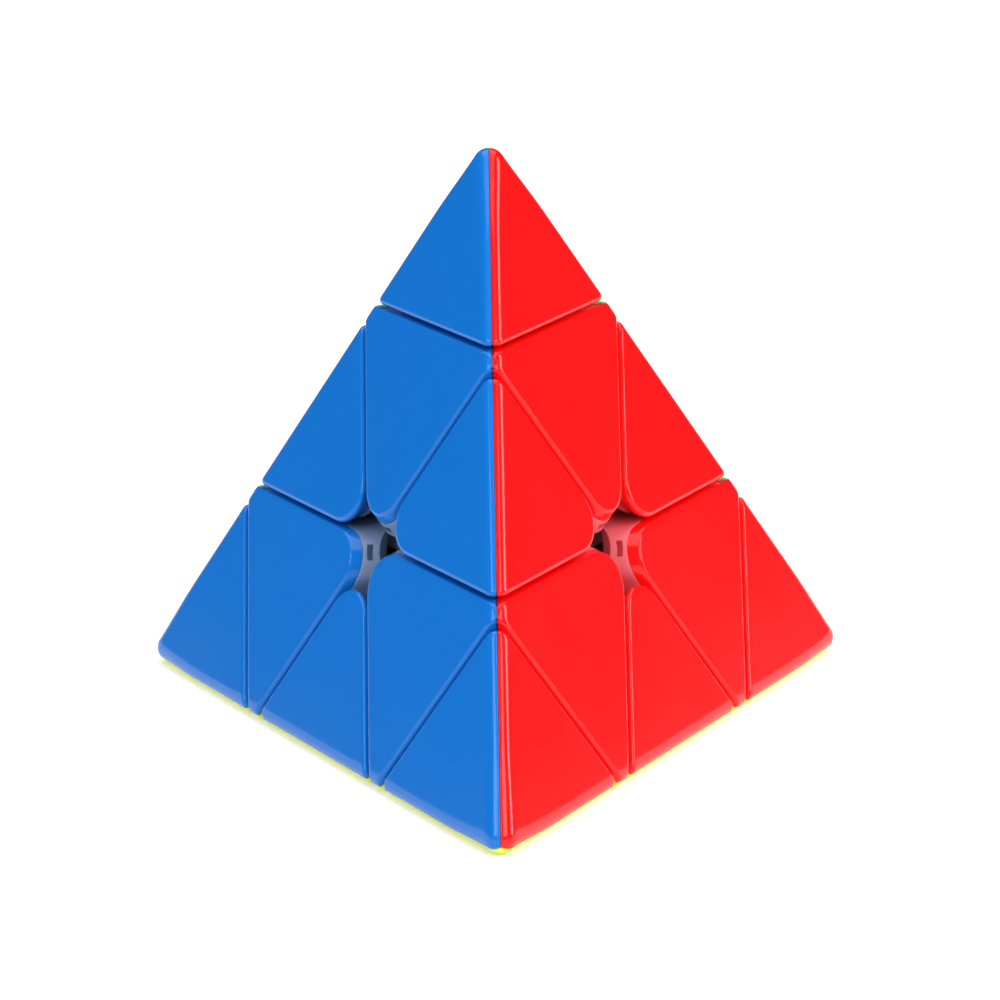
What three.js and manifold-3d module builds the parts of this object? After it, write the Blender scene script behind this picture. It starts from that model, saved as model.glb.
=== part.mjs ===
// A pyramid twisty puzzle: four layers that turn about the four corners of a tetrahedron, four loose
// tips, and six edge pieces carried between the layers. Millimetres, +Z up, origin at the core's centre.
import * as THREE from "three";
import { ConvexGeometry } from "three/addons/geometries/ConvexGeometry.js";
import { mergeVertices } from "three/addons/utils/BufferGeometryUtils.js";
import Module from "manifold-3d";

const wasm = await Module();
wasm.setup();

// Overall sizes
const edgeLength = 102; // between the sharp corners of the tetrahedron
const tipHeight = 27.3; // sharp corner to the cut under a tip
const layerOffset = 0.4; // how far a layer's cut passes beyond the middle of a face
const cutGap = 0.85; // clear gap across every cut
const edgeRound = 1.75; // radius along the six long edges
const cornerRound = 2.15; // radius of the four corners
const rimRound = 0.9; // radius where a face meets a cut
const openingRound = 4.6; // radius of the corners around the opening in the middle of a face

// Coloured shells, each a tray pressed on a white base
const shellDepth = 3.2;
const plateThickness = 1.4;
const wallThickness = 1.3;
const seamGap = 0.3; // between two shells along a long edge
const seatGap = 0.15; // between a shell and its base
const panelThickness = 1.5; // the base's own wall under a shell

// Mechanism: a core ball with four arms, and feet that run under the axial flanges
const runGap = 0.3;
const coreRadius = 10.2;
const armRadius = 3.3;
const armTop = 13.4; // from the core's centre
const stalkWall = 1.35;
const neckDepth = 2.35; // how far the feet reach out past the inner edge of an edge piece
const footAngle = 76; // degrees from a layer's axis to the side of its feet
const footWidth = 12;
const flangeThickness = 1.4;
const flangeAngle = 41; // degrees
const barrelRadius = 8.2;
const floorThickness = 1.4;
const slotWidth = 0.8;
const slotHeight = 2.3;
const slotDepth = 1.2;
const slotLift = 0.14; // from the flange up to the slots

// Fasteners and the tips' snap collars
const screwRadius = 1.5;
const screwClearance = 0.2;
const screwDepth = 9.4; // length of shank inside the core
const headRadius = 3.2;
const headHeight = 1.9;
const headBevel = 0.65;
const recessWidth = 0.9;
const recessLength = 3.8;
const recessDepth = 1.1;
const springWire = 0.8;
const springRadius = 2.5; // to the middle of the wire
const springPitch = 2.5;
const pocketRadius = 3.4; // around the spring
const pocketDepth = 3;
const wellRadius = 4.4;
const lipRadius = 3.55;
const lipHeight = 1.7;
const collarWall = 1.2;
const collarGap = 0.25;
const beadHeight = 1.2;
const beadGrip = 0.45; // how far the bead reaches past the lip
const boreDepth = 6; // of the hollow inside a tip

// How far a tool of a cut or join runs past the surface that it meets
const overshoot = 1;
const arcOvershoot = 6; // degrees, along a circle
const tolerance = 1e-6;

// Worked out
const height = edgeLength * Math.sqrt(2 / 3);
const cornerReach = (height * 3) / 4;
const faceReach = height / 4;
const layerReach = faceReach / 3 + layerOffset;
const tipReach = cornerReach - tipHeight;
const footInner = coreRadius + runGap;
const innerEdge = (layerReach + cutGap / 2) * Math.sqrt(3);
const footOuter = innerEdge + neckDepth;
const undersideRadius = footOuter + runGap;
const flangeRadius = undersideRadius + flangeThickness;
const slotBottom = Math.sqrt(flangeRadius ** 2 - barrelRadius ** 2) + slotLift;
const stalkInner = armRadius + runGap;
const stalkOuter = stalkInner + stalkWall;
const stalkBottom = coreRadius + 2 * runGap;
const wellFloor = armTop + runGap + floorThickness;
const stalkTop = Math.max(undersideRadius, wellFloor + overshoot);
const axialTop = tipReach - cutGap / 2;
const lipUnderside = axialTop - lipHeight;
const collarBottom = lipUnderside - runGap - beadHeight;
const headTop = collarBottom - 2 * runGap;
const headUnderside = headTop - headHeight;
const collarRadius = lipRadius - collarGap;

// Segments round a full turn, and shares of a turn for the flats that stand for a rounding
const roundSegments = 20;
const smallSegments = 12;
const coreSegments = 16;
const oneFlat = [0.5];
const edgeFlats = [0.25, 0.5];
const openingFlats = [0.2, 0.5, 0.8];

// Unit vectors from the centre to the corners. Local corner 0 points up, so a piece is made once
// about +Z and then placed at each corner in turn.
const low = -1 / 3;
const wide = Math.sqrt(8) / 3;
const localCorners = [
  new THREE.Vector3(0, 0, 1),
  new THREE.Vector3(wide, 0, low),
  new THREE.Vector3(-wide / 2, (wide * Math.sqrt(3)) / 2, low),
  new THREE.Vector3(-wide / 2, (-wide * Math.sqrt(3)) / 2, low),
];
const corners = {
  top: new THREE.Vector3(0, 0, 1),
  front: new THREE.Vector3(0, -wide, low),
  left: new THREE.Vector3((-wide * Math.sqrt(3)) / 2, wide / 2, low),
  right: new THREE.Vector3((wide * Math.sqrt(3)) / 2, wide / 2, low),
};
// The face opposite each corner has one colour.
const faceColours = {
  top: { name: "yellow", colour: 0xd6e01e },
  front: { name: "green", colour: 0x1fae3c },
  left: { name: "red", colour: 0xff1c20 },
  right: { name: "blue", colour: 0x0f68c4 },
};

// ---- half-spaces and solids ----

// Every point on the inner side of a plane: normal.dot(point) is at most reach.
const space = (normal, reach) => ({ normal: normal.clone(), reach });
const beyond = (normal, reach) => ({ normal: normal.clone().negate(), reach: -reach });
const inset = (spaces, by) => spaces.map(({ normal, reach }) => ({ normal, reach: reach - by }));

// Flats tangent to the cylinder of this radius that rounds the edge between two half-spaces.
function flatsBetween(a, b, radius, shares) {
  const angle = a.normal.angleTo(b.normal);
  return shares.map((share) => {
    const weightA = Math.sin((1 - share) * angle) / Math.sin(angle);
    const weightB = Math.sin(share * angle) / Math.sin(angle);
    const normal = a.normal.clone().multiplyScalar(weightA).addScaledVector(b.normal, weightB);
    const reach = weightA * (a.reach - radius) + weightB * (b.reach - radius) + radius;
    return { normal, reach };
  });
}

// The closed mesh of a geometry as a solid that can be joined and cut.
function solidOf(geometry) {
  geometry.deleteAttribute("normal");
  geometry.deleteAttribute("uv");
  const merged = mergeVertices(geometry, 1e-5);
  const vertProperties = merged.attributes.position.array;
  const triVerts = new Uint32Array(merged.index.array);
  return new wasm.Manifold(new wasm.Mesh({ numProp: 3, vertProperties, triVerts }));
}

// The solid inside every one of the half-spaces: its corners are where three planes meet.
function solidWithin(spaces) {
  const found = new Map();
  for (let i = 0; i < spaces.length; i++) {
    for (let j = i + 1; j < spaces.length; j++) {
      const crossIJ = spaces[i].normal.clone().cross(spaces[j].normal);
      for (let k = j + 1; k < spaces.length; k++) {
        const volume = crossIJ.dot(spaces[k].normal);
        if (Math.abs(volume) < tolerance) continue;
        const point = spaces[j].normal.clone().cross(spaces[k].normal).multiplyScalar(spaces[i].reach)
          .addScaledVector(spaces[k].normal.clone().cross(spaces[i].normal), spaces[j].reach)
          .addScaledVector(crossIJ, spaces[k].reach)
          .divideScalar(volume);
        if (spaces.some(({ normal, reach }) => normal.dot(point) > reach + tolerance)) continue;
        found.set(point.toArray().map((value) => Math.round(value * 1e4)).join(), point);
      }
    }
  }
  return solidOf(new ConvexGeometry([...found.values()]));
}

// A profile of [radius, height] points turned about +Z: up the outside, then down the inside.
function turned(profile, segments = roundSegments) {
  const points = profile.map(([radius, rise]) => new THREE.Vector2(radius, rise));
  return solidOf(new THREE.LatheGeometry(points, segments).rotateX(Math.PI / 2));
}

// Points on a circle about the centre, between two angles from +Z in degrees.
function arc(radius, from, to, steps) {
  return Array.from({ length: steps + 1 }, (_, step) => {
    const angle = THREE.MathUtils.degToRad(from + ((to - from) * step) / steps);
    return [radius * Math.sin(angle), radius * Math.cos(angle)];
  });
}
// The angle from +Z, in degrees, at which a sphere about the centre is this far from the axis.
const angleAt = (radius, sphere) => THREE.MathUtils.radToDeg(Math.asin(radius / sphere));

// ---- planes of the whole puzzle, about local corner 0 ----

const face = (opposite) => space(localCorners[opposite].clone().negate(), faceReach);
const deepFace = (opposite, depth) =>
  space(localCorners[opposite].clone().negate(), faceReach - shellDepth - seatGap - depth);
const belowCut = (corner, reach) => space(localCorners[corner], reach - cutGap / 2);
const aboveCut = (corner, reach) => beyond(localCorners[corner], reach + cutGap / 2);
// The side of the mid-plane between two faces that belongs to the first one.
const seamBeside = (opposite, other) => {
  const normal = localCorners[opposite].clone().sub(localCorners[other]).normalize();
  return space(normal, -seamGap / 2);
};

// The roofs of a shell on one face: the face and its rounding towards each long edge it reaches.
const roofs = (opposite, others) => [
  face(opposite),
  ...others.flatMap((other) => flatsBetween(face(opposite), face(other), edgeRound, edgeFlats)),
];

// Cuts whose line runs out into the opening of a face are rounded where they meet.
const roundedPair = (a, b) => flatsBetween(a, b, openingRound, openingFlats);

const tipCuts = [aboveCut(0, tipReach)];
const tipCap = space(localCorners[0], cornerReach - 2 * cornerRound);
const axialSides = [1, 2, 3].map((corner) => belowCut(corner, layerReach));
const axialCuts = [
  belowCut(0, tipReach),
  aboveCut(0, layerReach),
  ...axialSides,
  ...roundedPair(axialSides[0], axialSides[1]),
  ...roundedPair(axialSides[1], axialSides[2]),
  ...roundedPair(axialSides[2], axialSides[0]),
];
const edgeSides = [aboveCut(0, layerReach), aboveCut(1, layerReach)];
const edgeCuts = [...edgeSides, ...roundedPair(...edgeSides)];
const edgeEnds = [belowCut(0, tipReach), belowCut(1, tipReach)];

// ---- shells ----

// A tray on the face opposite one corner. Its pocket is the same shape, drawn in by the wall.
function shellSpaces(opposite, others, cuts, { cap = [], ends = [] } = {}) {
  const top = [...roofs(opposite, others), ...cap];
  const rims = top.flatMap((roof) => cuts.flatMap((cut) => flatsBetween(roof, cut, rimRound, oneFlat)));
  const sides = [...cuts, ...ends, ...others.map((other) => seamBeside(opposite, other))];
  return { top: [...top, ...rims], sides };
}
function shellWithin({ top, sides }, opposite) {
  const under = localCorners[opposite].clone().negate();
  const outer = solidWithin([...top, ...sides, beyond(under, faceReach - shellDepth)]);
  const pocket = solidWithin([
    ...inset(top, plateThickness),
    ...inset(sides, wallThickness),
    beyond(under, faceReach - 2 * shellDepth),
  ]);
  return outer.subtract(pocket);
}
// The raised block of a base that fills its shell's pocket, with its root in the base's panel.
function blockWithin({ top, sides }, opposite) {
  const under = localCorners[opposite].clone().negate();
  return solidWithin([
    ...inset(top, plateThickness + seatGap),
    ...inset(sides, wallThickness + seatGap),
    beyond(under, faceReach - shellDepth - panelThickness),
  ]);
}

const tipShell = shellSpaces(1, [2, 3], tipCuts, { cap: [tipCap] });
const axialShell = shellSpaces(1, [2, 3], axialCuts);
const edgeShell = shellSpaces(3, [2], edgeCuts, { ends: edgeEnds });

// ---- bases ----

const thirdTurn = new THREE.Vector3(0, 0, 1);
function roundThree(make) {
  return [0, 1, 2].map((turn) => make(turn)).reduce((sum, solid) => sum.add(solid));
}
// The same spaces turned about +Z by a number of thirds.
const turnedSpaces = (spaces, thirds) =>
  spaces.map(({ normal, reach }) => ({
    normal: normal.clone().applyAxisAngle(thirdTurn, (thirds * 2 * Math.PI) / 3),
    reach,
  }));

// Three blocks, one under each shell about the axis.
function threeBlocks(shell) {
  return roundThree((thirds) => {
    const turnedShell = {
      top: turnedSpaces(shell.top, thirds),
      sides: turnedSpaces(shell.sides, thirds),
    };
    return blockWithin(turnedShell, thirds + 1);
  });
}

function makeTipBase() {
  const body = solidWithin([...tipCuts, deepFace(1, 0), deepFace(2, 0), deepFace(3, 0)]);
  const boreRadius = collarRadius - collarWall;
  const beadRadius = lipRadius + beadGrip;
  const beadTop = collarBottom + beadHeight;
  const root = tipReach + cutGap;
  const collar = turned([
    [0, collarBottom],
    [collarRadius, collarBottom],
    [beadRadius, collarBottom + beadHeight / 2],
    [beadRadius, beadTop],
    [collarRadius, beadTop],
    [collarRadius, root],
    [0, root],
  ], smallSegments);
  const bore = turned([
    [0, collarBottom - overshoot],
    [boreRadius, collarBottom - overshoot],
    [boreRadius, tipReach + boreDepth - boreRadius],
    [0, tipReach + boreDepth],
  ], smallSegments);
  return body.add(threeBlocks(tipShell)).add(collar).subtract(bore);
}

function makeAxialBase() {
  const cell = solidWithin([...axialCuts, deepFace(1, 0), deepFace(2, 0), deepFace(3, 0)]);
  const hollow = solidWithin([
    beyond(localCorners[0], 0),
    deepFace(1, panelThickness),
    deepFace(2, panelThickness),
    deepFace(3, panelThickness),
  ]);
  const panels = cell.subtract(hollow);
  const insidePanels = solidWithin([
    beyond(localCorners[0], 0),
    deepFace(1, panelThickness + runGap),
    deepFace(2, panelThickness + runGap),
    deepFace(3, panelThickness + runGap),
  ]);
  const innerAngle = angleAt(pocketRadius, undersideRadius);
  const underside = arc(undersideRadius, innerAngle, flangeAngle, 3);
  const flange = turned([
    ...underside,
    ...arc(flangeRadius, flangeAngle, innerAngle, 2),
    underside[0],
  ]).intersect(insidePanels);
  const barrelFoot = arc(undersideRadius, innerAngle, angleAt(barrelRadius, undersideRadius), 1);
  const barrel = turned([
    ...barrelFoot,
    [barrelRadius, axialTop + cutGap],
    [pocketRadius, axialTop + cutGap],
    barrelFoot[0],
  ]);
  const stalk = turned([
    [stalkInner, stalkBottom],
    [stalkOuter, stalkBottom],
    [stalkOuter, stalkTop],
    [0, stalkTop],
    [0, armTop + runGap],
    [stalkInner, armTop + runGap],
    [stalkInner, stalkBottom],
  ]);
  const well = turned([
    [0, wellFloor],
    [pocketRadius, wellFloor],
    [pocketRadius, wellFloor + pocketDepth],
    [wellRadius, wellFloor + pocketDepth + wellRadius - pocketRadius],
    [wellRadius, lipUnderside],
    [lipRadius, lipUnderside],
    [lipRadius, axialTop + overshoot],
    [0, axialTop + overshoot],
  ]);
  const floorBore = turned([
    [0, armTop],
    [screwRadius + screwClearance, armTop],
    [screwRadius + screwClearance, wellFloor + overshoot],
    [0, wellFloor + overshoot],
  ], smallSegments);
  const slots = roundThree((thirds) => {
    const slot = new THREE.BoxGeometry(2 * slotDepth, slotWidth, slotHeight);
    slot.translate(-barrelRadius, 0, slotBottom + slotHeight / 2);
    return solidOf(slot.rotateZ((thirds * 2 * Math.PI) / 3));
  });
  return panels
    .add(barrel.intersect(cell))
    .add(flange)
    .add(threeBlocks(axialShell))
    .add(stalk)
    .subtract(well)
    .subtract(floorBore)
    .subtract(slots);
}

const angleBetweenCorners = THREE.MathUtils.radToDeg(localCorners[0].angleTo(localCorners[1]));
// The spaces mirrored across the plane through corners 0 and 1.
const mirrored = (spaces) =>
  spaces.map(({ normal, reach }) => ({ normal: new THREE.Vector3(normal.x, -normal.y, normal.z), reach }));

function makeEdgeBase() {
  const along = localCorners[2].clone().sub(localCorners[3]).normalize();
  const within = [space(along, footWidth / 2), beyond(along, -footWidth / 2)];
  const outerFaces = [deepFace(2, 0), deepFace(3, 0)];
  const cell = solidWithin([...edgeCuts, ...edgeEnds, ...outerFaces]);
  const hollow = solidWithin([
    beyond(localCorners[0], 0),
    beyond(localCorners[1], 0),
    deepFace(2, panelThickness),
    deepFace(3, panelThickness),
  ]);
  const stem = solidWithin([...edgeSides, ...edgeEnds, ...outerFaces, ...within]);
  // The foot is part of a ring about the line through the centre along the piece's inner edge.
  const middle = localCorners[0].clone().add(localCorners[1]).normalize();
  const across = localCorners[0].clone().sub(localCorners[1]).normalize();
  const outerAngle = angleAt(footWidth / 2, footOuter) + arcOvershoot;
  const innerAngle = angleAt(footWidth / 2, footInner) + arcOvershoot;
  const ringInside = arc(footInner, 90 - innerAngle, 90 + innerAngle, 4);
  const ring = turned([
    ...ringInside,
    ...arc(footOuter, 90 + outerAngle, 90 - outerAngle, 3),
    ringInside[0],
  ], 2 * roundSegments);
  const upright = new THREE.Matrix4().makeBasis(middle, across, along);
  const halfSpan = THREE.MathUtils.degToRad(footAngle - angleBetweenCorners / 2);
  const side = (sign) => {
    const normal = across.clone().multiplyScalar(sign * Math.cos(halfSpan));
    return space(normal.addScaledVector(middle, -Math.sin(halfSpan)), 0);
  };
  const wedge = solidWithin([side(1), side(-1), space(middle, 2 * footOuter), ...within]);
  const foot = ring.transform(upright.toArray()).intersect(wedge);
  return cell.subtract(hollow)
    .add(stem)
    .add(foot)
    .add(blockWithin(edgeShell, 3))
    .add(blockWithin({ top: mirrored(edgeShell.top), sides: mirrored(edgeShell.sides) }, 2));
}

// ---- core, screws and springs ----

function makeCore() {
  const meridian = arc(coreRadius, 180, 0, coreSegments / 2);
  const ball = turned(meridian.map(([radius, rise]) => [Math.max(radius, 0), rise]), coreSegments);
  return Object.values(corners).reduce((core, corner) => {
    const upright = new THREE.Quaternion().setFromUnitVectors(localCorners[0], corner);
    const matrix = new THREE.Matrix4().makeRotationFromQuaternion(upright).toArray();
    const arm = turned([
      [0, coreRadius / 2],
      [armRadius, coreRadius / 2],
      [armRadius, armTop],
      [0, armTop],
    ], smallSegments);
    const bore = turned([
      [0, armTop - screwDepth - screwRadius / 2],
      [screwRadius + screwClearance, armTop - screwDepth],
      [screwRadius + screwClearance, armTop + overshoot],
      [0, armTop + overshoot],
    ], smallSegments);
    return core.add(arm.transform(matrix)).subtract(bore.transform(matrix));
  }, ball);
}

function makeScrew() {
  const tip = armTop - screwDepth + screwClearance;
  const body = turned([
    [0, tip],
    [screwRadius / 2, tip],
    [screwRadius, tip + screwRadius],
    [screwRadius, headUnderside],
    [headRadius, headUnderside],
    [headRadius, headTop - headBevel],
    [headRadius - headBevel, headTop],
    [0, headTop],
  ], smallSegments);
  const bar = (turn) => {
    const box = new THREE.BoxGeometry(recessLength, recessWidth, 2 * recessDepth);
    return solidOf(box.rotateZ(turn).translate(0, 0, headTop));
  };
  return body.subtract(bar(0)).subtract(bar(Math.PI / 2));
}

class Helix extends THREE.Curve {
  constructor(radius, bottom, rise, turns) {
    super();
    Object.assign(this, { radius, bottom, rise, turns });
  }
  getPoint(share, target = new THREE.Vector3()) {
    const angle = share * this.turns * 2 * Math.PI;
    return target.set(
      this.radius * Math.cos(angle),
      this.radius * Math.sin(angle),
      this.bottom + share * this.rise,
    );
  }
}

function makeSpring() {
  const bottom = wellFloor + runGap / 2 + springWire / 2;
  const rise = headUnderside - runGap / 2 - springWire / 2 - bottom;
  const turns = Math.max(1, Math.round(rise / springPitch));
  const section = new THREE.Shape();
  section.absarc(0, 0, springWire / 2, 0, 2 * Math.PI);
  const path = new Helix(springRadius, bottom, rise, turns);
  const shape = { steps: 8 * turns, curveSegments: 3, bevelEnabled: false, extrudePath: path };
  return solidOf(new THREE.ExtrudeGeometry(section, shape));
}

// ---- the assembly ----

const puzzle = new THREE.Group();
puzzle.name = "pyramid_twisty_puzzle";

const finishes = {
  shell: (colour) => new THREE.MeshStandardMaterial({ color: colour, roughness: 0.28, metalness: 0 }),
  white: () => new THREE.MeshStandardMaterial({ color: 0xe6e9ec, roughness: 0.42, metalness: 0 }),
  steel: () => new THREE.MeshStandardMaterial({ color: 0xb4b7ba, roughness: 0.3, metalness: 1 }),
};

// The turn that carries local corner 0 to one corner and local corner 1 to another.
function frameAt(corner, neighbour) {
  const up = corners[corner];
  const out = corners[neighbour].clone().addScaledVector(up, -up.dot(corners[neighbour])).normalize();
  return new THREE.Matrix4().makeBasis(out, up.clone().cross(out), up);
}
function geometryOf(solid) {
  const { vertProperties, triVerts } = solid.getMesh();
  const geometry = new THREE.BufferGeometry();
  geometry.setAttribute("position", new THREE.BufferAttribute(vertProperties, 3));
  geometry.setIndex(new THREE.BufferAttribute(triVerts, 1));
  return geometry;
}
function place(name, geometry, material, matrix = new THREE.Matrix4()) {
  const mesh = new THREE.Mesh(geometry, material);
  mesh.name = name;
  mesh.applyMatrix4(matrix);
  puzzle.add(mesh);
}

const made = {
  core: geometryOf(makeCore()),
  screw: geometryOf(makeScrew()),
  spring: geometryOf(makeSpring()),
  tipBase: geometryOf(makeTipBase()),
  axialBase: geometryOf(makeAxialBase()),
  edgeBase: geometryOf(makeEdgeBase()),
  tipShell: geometryOf(shellWithin(tipShell, 1)),
  axialShell: geometryOf(shellWithin(axialShell, 1)),
  edgeShell: geometryOf(shellWithin(edgeShell, 3)),
};

place("core_spider", made.core, finishes.white());

const names = Object.keys(corners);
for (const corner of names) {
  const others = names.filter((name) => name !== corner);
  const upright = frameAt(corner, others[0]);
  place(`tension_screw_${corner}`, made.screw, finishes.steel(), upright);
  place(`spring_${corner}`, made.spring, finishes.steel(), upright);
  place(`axial_${corner}_base`, made.axialBase, finishes.white(), upright);
  place(`tip_${corner}_base`, made.tipBase, finishes.white(), upright);
  for (const opposite of others) {
    const { name, colour } = faceColours[opposite];
    const matrix = frameAt(corner, opposite);
    place(`axial_${corner}_shell_${name}`, made.axialShell, finishes.shell(colour), matrix);
    place(`tip_${corner}_shell_${name}`, made.tipShell, finishes.shell(colour), matrix);
  }
}

// An edge piece lies between two corners and shows the faces opposite the other two.
const oppositeOf = (corner, neighbour) => {
  const normal = localCorners[3].clone().applyMatrix4(frameAt(corner, neighbour));
  return names.find((name) => corners[name].distanceTo(normal) < 0.01);
};
names.forEach((first, index) => {
  for (const second of names.slice(index + 1)) {
    place(`edge_${first}_${second}_base`, made.edgeBase, finishes.white(), frameAt(first, second));
    for (const [corner, neighbour] of [[first, second], [second, first]]) {
      const { name, colour } = faceColours[oppositeOf(corner, neighbour)];
      const matrix = frameAt(corner, neighbour);
      place(`edge_${first}_${second}_shell_${name}`, made.edgeShell, finishes.shell(colour), matrix);
    }
  }
});

export default puzzle;
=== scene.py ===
import math

import bpy
import numpy as np
from mathutils import Matrix, Vector


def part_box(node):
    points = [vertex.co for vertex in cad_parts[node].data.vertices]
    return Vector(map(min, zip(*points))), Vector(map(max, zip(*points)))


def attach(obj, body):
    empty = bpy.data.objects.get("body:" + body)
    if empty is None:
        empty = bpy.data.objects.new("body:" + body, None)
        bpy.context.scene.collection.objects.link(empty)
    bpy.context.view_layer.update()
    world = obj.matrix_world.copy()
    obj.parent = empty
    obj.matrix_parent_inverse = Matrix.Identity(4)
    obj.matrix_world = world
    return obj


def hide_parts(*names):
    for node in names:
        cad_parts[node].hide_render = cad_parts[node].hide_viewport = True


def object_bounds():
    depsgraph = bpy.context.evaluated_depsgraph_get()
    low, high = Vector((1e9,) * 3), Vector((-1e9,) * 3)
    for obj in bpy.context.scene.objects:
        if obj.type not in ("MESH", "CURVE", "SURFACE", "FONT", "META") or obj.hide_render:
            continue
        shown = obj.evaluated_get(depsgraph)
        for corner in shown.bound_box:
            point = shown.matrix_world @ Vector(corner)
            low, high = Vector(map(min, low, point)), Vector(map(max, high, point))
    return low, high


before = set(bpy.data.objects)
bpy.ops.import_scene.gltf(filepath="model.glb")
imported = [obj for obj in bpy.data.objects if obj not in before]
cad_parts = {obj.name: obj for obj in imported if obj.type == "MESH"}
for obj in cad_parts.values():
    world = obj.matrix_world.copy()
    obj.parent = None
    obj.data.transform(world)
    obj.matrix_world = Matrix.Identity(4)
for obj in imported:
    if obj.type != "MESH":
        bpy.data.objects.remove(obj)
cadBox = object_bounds()
metresPerMm = 0.001


# A node's box in millimetres. All sizes from here on are in millimetres from the middle of the core.
def boxOf(node):
    low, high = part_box(node)
    return np.array(low) / metresPerMm, np.array(high) / metresPerMm


faceReach = -boxOf("axial_front_shell_yellow")[0][2]  # from the middle to a face
tipAbove = boxOf("tip_top_shell_blue")[0][2]  # lower side of a tip
tipBelow = boxOf("axial_top_shell_blue")[1][2]  # upper side of an axial
layerAbove = boxOf("axial_top_base")[0][2]  # lower side of a layer
cutGap = tipAbove - tipBelow
layerBelow = layerAbove - cutGap
print("cuts", round(faceReach, 3), round(tipAbove, 3), round(layerAbove, 3), "gap", round(cutGap, 3))

# The moulded pieces close the cuts a little, evenly from both sides.
shownGap = 0.45
swell = (cutGap - shownGap) / 2
tipAbove, tipBelow = tipAbove - swell, tipBelow + swell
layerAbove, layerBelow = layerAbove - swell, layerBelow + swell

# Unit vectors to the corners of the tetrahedron. A piece is made once, about local corner 0, which
# points up, and is then turned to each corner of the puzzle.
wide = math.sqrt(8) / 3
low = -1 / 3
sideways = wide * math.sqrt(3) / 2
localCorners = np.array([
    (0, 0, 1),
    (wide, 0, low),
    (-wide / 2, sideways, low),
    (-wide / 2, -sideways, low),
])
corners = {
    "top": np.array((0, 0, 1)),
    "front": np.array((0, -wide, low)),
    "left": np.array((-sideways, wide / 2, low)),
    "right": np.array((sideways, wide / 2, low)),
}
faceColours = {"top": "yellow", "front": "green", "left": "red", "right": "blue"}  # of the opposite face


# The turn that carries local corner 0 to one corner and local corner 1 to another, as columns.
def turnTo(corner, neighbour):
    up = corners[corner]
    out = corners[neighbour] - up * (up @ corners[neighbour])
    out = out / np.linalg.norm(out)
    return np.column_stack([out, np.cross(up, out), up])


nearlyNothing = 1e-9  # keeps divisions safe


# A distance is a pair: how far each point lies past a surface, and the surface's direction there. For a
# plane it is the point's reach along the plane's direction, less the plane's own; an inset moves the
# plane inward.
def pastPlane(points, plane, inset=0.0):
    normal, reach = plane
    return points @ normal - (reach - inset), np.broadcast_to(normal, points.shape)


# The shape inside both of two surfaces: the larger of the two distances, and its direction.
def larger(first, second):
    takeFirst = first[0] >= second[0]
    return np.where(takeFirst, first[0], second[0]), np.where(takeFirst[..., None], first[1], second[1])


# Two surfaces that meet over a round: between both directions it is the distance from the round's
# centre line less its radius, elsewhere the larger of the two distances.
def rounded(first, second, radius):
    (a, normalA), (b, normalB) = first, second
    cosine = np.sum(normalA * normalB, -1)
    squareSine = np.maximum(1 - cosine**2, nearlyNothing)
    shareA = (a + radius - cosine * (b + radius)) / squareSine
    shareB = (b + radius - cosine * (a + radius)) / squareSine
    out = shareA[..., None] * normalA + shareB[..., None] * normalB
    length = np.maximum(np.linalg.norm(out, axis=-1), nearlyNothing)
    between = (shareA > 0) & (shareB > 0)
    distance, normal = larger(first, second)
    return (
        np.where(between, length - radius, distance),
        np.where(between[..., None], out / length[..., None], normal),
    )


# Three planes that meet in a ball: inside the cone of their directions it is the distance from the
# ball's centre less its radius, elsewhere the largest of the three rounded edges.
def roundedCorner(points, planes, radius, inset):
    normals = np.array([normal for normal, _ in planes])
    depths = np.stack([pastPlane(points, plane, inset)[0] + radius for plane in planes], -1)
    shares = depths @ np.linalg.inv(normals @ normals.T)
    out = shares @ normals
    length = np.maximum(np.linalg.norm(out, axis=-1), nearlyNothing)
    a, b, c = (pastPlane(points, plane, inset) for plane in planes)
    edges = larger(rounded(a, b, radius), rounded(a, c, radius))
    distance, normal = larger(edges, rounded(b, c, radius))
    inside = (shares > 0).all(-1)
    return (
        np.where(inside, length - radius, distance),
        np.where(inside[..., None], out / length[..., None], normal),
    )


# Share that grows smoothly from 0 to 1 between two values.
def smoothShare(value, none, full):
    share = np.clip((value - none) / (full - none), 0, 1)
    return share * share * (3 - 2 * share)


# The coloured shells.
shellSizes = {
    "depth": 3.2,  # of the skirt, below the face
    "plate": 1.0,
    "wall": 1.3,
    "edgeRound": 1.75,  # along the long edges
    "cornerRound": 2.15,  # at the four corners
    "cornerBlend": (14.0, 5.0),  # distance from the sharp corner over which one becomes the other
    "rimRound": 0.6,  # face to cut
    "openingRound": 5.0,  # around the opening in the middle of a face
    "openingDepth": 1.4,  # of an axial's skirt beside the opening
    "openingBlend": (8.0, 12.5),  # distance from the middle of the face over which it grows to full depth
    "seam": 0.05,  # gap between two shells along a long edge
    "seamRound": 0.12,
    "pocketRound": 0.25,
    "pivotDepth": (0.8, 1.5),  # around the opening, and elsewhere
    "cutPivot": 1.5,  # how far the pivots lie inside a cut
    "seamPivot": 1.85,  # and inside a seam
    "pocketPivotDepth": (1.2, 2.3),
    "pocketPivot": 0.9,  # how far they lie inside the pocket's sides
    "pivotRound": 0.05,  # at the outline's sharp corners
    "sideSteps": 8,  # along a straight stretch
    "turnStep": 1.7,  # degrees round a corner
    "leastTurnSteps": 4,
    "rimSteps": (18, 14),  # from the middle to the rim, and from the rim to the skirt's end
    "pocketSteps": (6, 4),
    "rimCrowding": 1.8,  # power by which the steps close up at the rim
    "capSteps": 4,
    "trialAngles": (0.05, math.radians(178), 70),  # first, last and how many
}
halvings = 32  # to find where a ray leaves a shape
angleHalvings = 16  # to find the angle at which a fan of rays passes an edge
foundWithin = 1e-6  # from the skirt's end


def faceOpposite(corner):
    return -localCorners[corner], faceReach


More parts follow.
